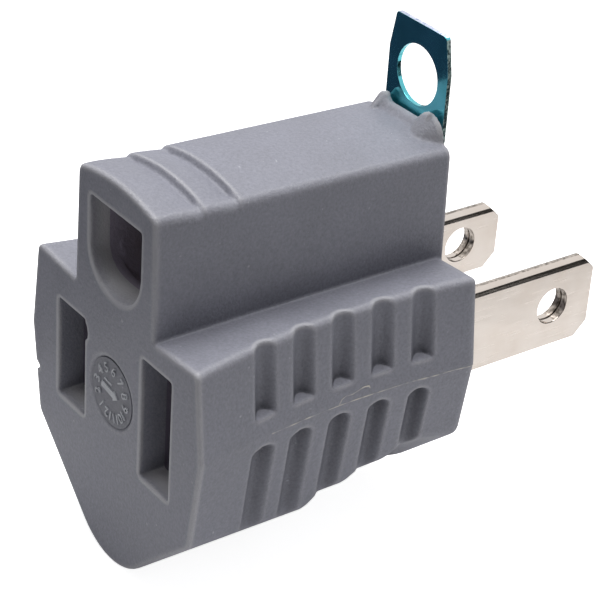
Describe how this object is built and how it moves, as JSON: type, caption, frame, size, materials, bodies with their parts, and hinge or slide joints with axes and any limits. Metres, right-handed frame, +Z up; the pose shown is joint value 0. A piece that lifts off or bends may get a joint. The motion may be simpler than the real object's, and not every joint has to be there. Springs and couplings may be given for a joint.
{
  "type": "grounding plug adapter",
  "caption": "Moulded grounding plug adapter: a polarised grounding socket face, flat folded blades behind and a ground tab for the cover plate screw.",
  "frame": {"origin": "middle of the rear face, midway between the blades and level with their centre line", "axes": "+Y out of the rear face along the blades, +Z up towards the ground socket, +X towards the neutral blade"},
  "size_m": [0.0256, 0.0446, 0.0422],
  "materials": {
    "body_plastic": "fine-grained matte grey moulding",
    "blade_metal": "nickel plated, lightly brushed along the blade",
    "spring_bronze": "plain spring bronze",
    "tab_zinc": "blue-green passivated zinc plate, mirror bright",
    "rivet_steel": "plain bright steel"
  },
  "bodies": {
    "root": {"body": "body_plastic", "hot_terminal": "blade_metal", "neutral_terminal": "blade_metal", "ground_contact": "spring_bronze", "ground_tab": "tab_zinc", "ground_rivet": "rivet_steel"}
  },
  "joints": []
}
